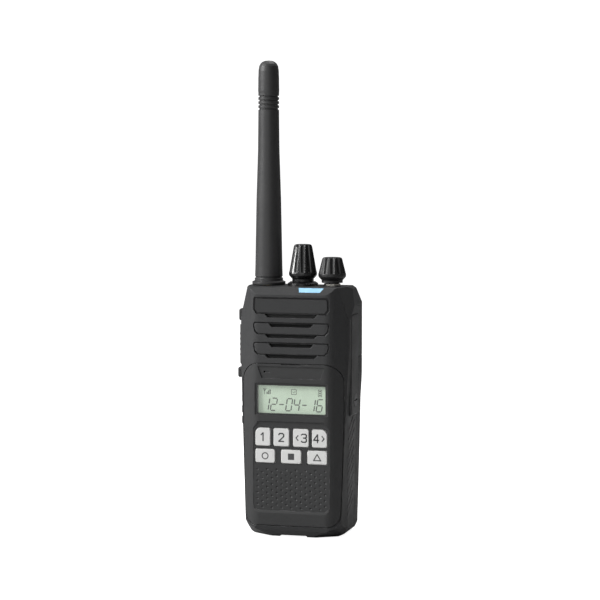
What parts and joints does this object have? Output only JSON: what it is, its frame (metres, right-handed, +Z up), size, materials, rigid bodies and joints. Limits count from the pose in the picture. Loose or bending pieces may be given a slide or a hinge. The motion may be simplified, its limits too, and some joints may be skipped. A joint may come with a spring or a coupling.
{
  "type": "two way radio",
  "caption": "Hand-held two way radio with stub antenna, rotary selector and volume knobs, display, keypad, side talk bar, accessory jacks and a clip-on battery pack.",
  "frame": {"origin": "centre of the flat base the radio stands on, midway between front face and pack back", "axes": "+Z up along the body and the antenna, +X to the right seen from the front, the front faces -Y"},
  "size_m": [0.0579, 0.0435, 0.233],
  "materials": {
    "case_plastic": "fine spark-eroded texture",
    "panel_plastic": "fine texture",
    "clear_plastic": "clear",
    "lcd": "reflective display",
    "white_plastic": "satin",
    "silicone": "soft",
    "black_rubber": "satin",
    "knob_plastic": "gloss",
    "knob_soft": "satin",
    "steel": "plain",
    "nickel": "plated",
    "brass": "gold plated",
    "cast": "die cast",
    "board": "solder mask",
    "dark_part": "moulded",
    "mesh": "woven",
    "cone": "pressed",
    "blue_light": "translucent",
    "cell_wrap": "shrink wrap",
    "copper": "wound wire"
  },
  "bodies": {
    "radio": {"antenna_connector": "brass", "case_gasket": "black_rubber", "case_screws": "steel", "chassis": "cast", "display_window": "clear_plastic", "dome_switches": "nickel", "front_case": "case_plastic", "front_panel": "panel_plastic", "jack_block": "dark_part", "key_mat": "silicone", "lcd_glass": "lcd", "lcd_holder": "white_plastic", "light_bar": "blue_light", "main_board": "board", "microphone": "nickel", "microphone_boot": "black_rubber", "name_plate": "panel_plastic", "ring_nuts": "nickel", "selector_escutcheon": "knob_plastic", "selector_switch": "dark_part", "shield_cans": "steel", "side_board": "board", "side_membrane": "silicone", "speaker_basket": "steel", "speaker_cone": "cone", "speaker_magnet": "nickel", "speaker_mesh": "mesh", "terminal_block": "dark_part", "terminal_springs": "brass", "volume_switch": "dark_part"},
    "antenna_contact": {"antenna_pin": "brass"},
    "antenna": {"antenna_sleeve": "black_rubber", "antenna_nut": "nickel", "antenna_coil": "copper"},
    "selector": {"selector_knob": "knob_plastic", "selector_pointer": "white_plastic", "selector_shaft": "steel"},
    "volume": {"volume_knob": "knob_soft", "volume_shaft": "steel"},
    "upper_side_button": {"upper_side_key": "black_rubber"},
    "talk_button": {"talk_key": "black_rubber"},
    "lower_side_button": {"lower_side_key": "black_rubber"},
    "latch": {"pack_latch": "panel_plastic"},
    "battery_pack": {"battery_case": "case_plastic", "battery_cells": "cell_wrap", "battery_terminals": "brass", "clip_bracket": "dark_part", "clip_screws": "steel", "clip_pin": "steel", "clip_spring": "steel"},
    "clip": {"belt_clip": "dark_part"},
    "cover": {"jack_cover": "panel_plastic"},
    "cover_fastener": {"cover_screw": "steel"},
    "button_1": {"key_1": "white_plastic"},
    "button_2": {"key_2": "white_plastic"},
    "button_3": {"key_3": "white_plastic"},
    "button_4": {"key_4": "white_plastic"},
    "button_5": {"key_5": "white_plastic"},
    "button_6": {"key_6": "white_plastic"},
    "button_7": {"key_7": "white_plastic"}
  },
  "joints": [
    {"name": "antenna_lift", "type": "slide", "parent": "radio", "child": "antenna_contact", "axis": [0, 0, 1], "range_m": [0, 0.00353]},
    {"name": "antenna_unscrew", "type": "hinge", "parent": "antenna_contact", "child": "antenna", "pos_m": [-0.0158, 0, 0.124], "axis": [0, 0, 1], "range_deg": [0, 1800]},
    {"name": "channel_selector", "type": "hinge", "parent": "radio", "child": "selector", "pos_m": [0.0016, 0, 0.125], "axis": [0, 0, -1], "range_deg": [-112.5, 225]},
    {"name": "volume_control", "type": "hinge", "parent": "radio", "child": "volume", "pos_m": [0.0164, 0, 0.125], "axis": [0, 0, -1], "range_deg": [-150, 120]},
    {"name": "key_1_press", "type": "slide", "parent": "radio", "child": "button_1", "axis": [0, 1, 0], "range_m": [0, 0.0006], "stiffness_N_per_m": 1200, "springref_m": -0.0002},
    {"name": "key_2_press", "type": "slide", "parent": "radio", "child": "button_2", "axis": [0, 1, 0], "range_m": [0, 0.0006], "stiffness_N_per_m": 1200, "springref_m": -0.0002},
    {"name": "key_3_press", "type": "slide", "parent": "radio", "child": "button_3", "axis": [0, 1, 0], "range_m": [0, 0.0006], "stiffness_N_per_m": 1200, "springref_m": -0.0002},
    {"name": "key_4_press", "type": "slide", "parent": "radio", "child": "button_4", "axis": [0, 1, 0], "range_m": [0, 0.0006], "stiffness_N_per_m": 1200, "springref_m": -0.0002},
    {"name": "key_5_press", "type": "slide", "parent": "radio", "child": "button_5", "axis": [0, 1, 0], "range_m": [0, 0.0006], "stiffness_N_per_m": 1200, "springref_m": -0.0002},
    {"name": "key_6_press", "type": "slide", "parent": "radio", "child": "button_6", "axis": [0, 1, 0], "range_m": [0, 0.0006], "stiffness_N_per_m": 1200, "springref_m": -0.0002},
    {"name": "key_7_press", "type": "slide", "parent": "radio", "child": "button_7", "axis": [0, 1, 0], "range_m": [0, 0.0006], "stiffness_N_per_m": 1200, "springref_m": -0.0002},
    {"name": "upper_side_press", "type": "slide", "parent": "radio", "child": "upper_side_button", "axis": [1, 0, 0], "range_m": [0, 0.001], "stiffness_N_per_m": 1500, "springref_m": -0.0002},
    {"name": "talk_press", "type": "slide", "parent": "radio", "child": "talk_button", "axis": [1, 0, 0], "range_m": [0, 0.001], "stiffness_N_per_m": 1500, "springref_m": -0.0002},
    {"name": "lower_side_press", "type": "slide", "parent": "radio", "child": "lower_side_button", "axis": [1, 0, 0], "range_m": [0, 0.001], "stiffness_N_per_m": 1500, "springref_m": -0.0002},
    {"name": "latch_slide", "type": "slide", "parent": "radio", "child": "latch", "axis": [0, -1, 0], "range_m": [0, 0.0016], "stiffness_N_per_m": 600, "springref_m": -0.0003},
    {"name": "pack_release", "type": "hinge", "parent": "radio", "child": "battery_pack", "pos_m": [0, 0.0169, 0.08755], "axis": [1, 0, 0], "range_deg": [0, 40]},
    {"name": "clip_open", "type": "hinge", "parent": "battery_pack", "child": "clip", "pos_m": [0, 0.0225, 0.07], "axis": [1, 0, 0], "range_deg": [0, 14], "stiffness_Nm_per_rad": 0.35, "springref_deg": -5.73},
    {"name": "jack_cover_swing", "type": "hinge", "parent": "radio", "child": "cover", "pos_m": [0.0279, 0.001, 0.1092], "axis": [0, -1, 0], "range_deg": [0, 75]},
    {"name": "cover_screw_turn", "type": "hinge", "parent": "cover", "child": "cover_fastener", "pos_m": [0.0275, 0.0016, 0.067], "axis": [1, 0, 0], "range_deg": [-360, 0]}
  ],
  "couplings": [
    {"joint": "antenna_unscrew", "follows": "antenna_lift", "rad_per_m": 8899.7}
  ]
}
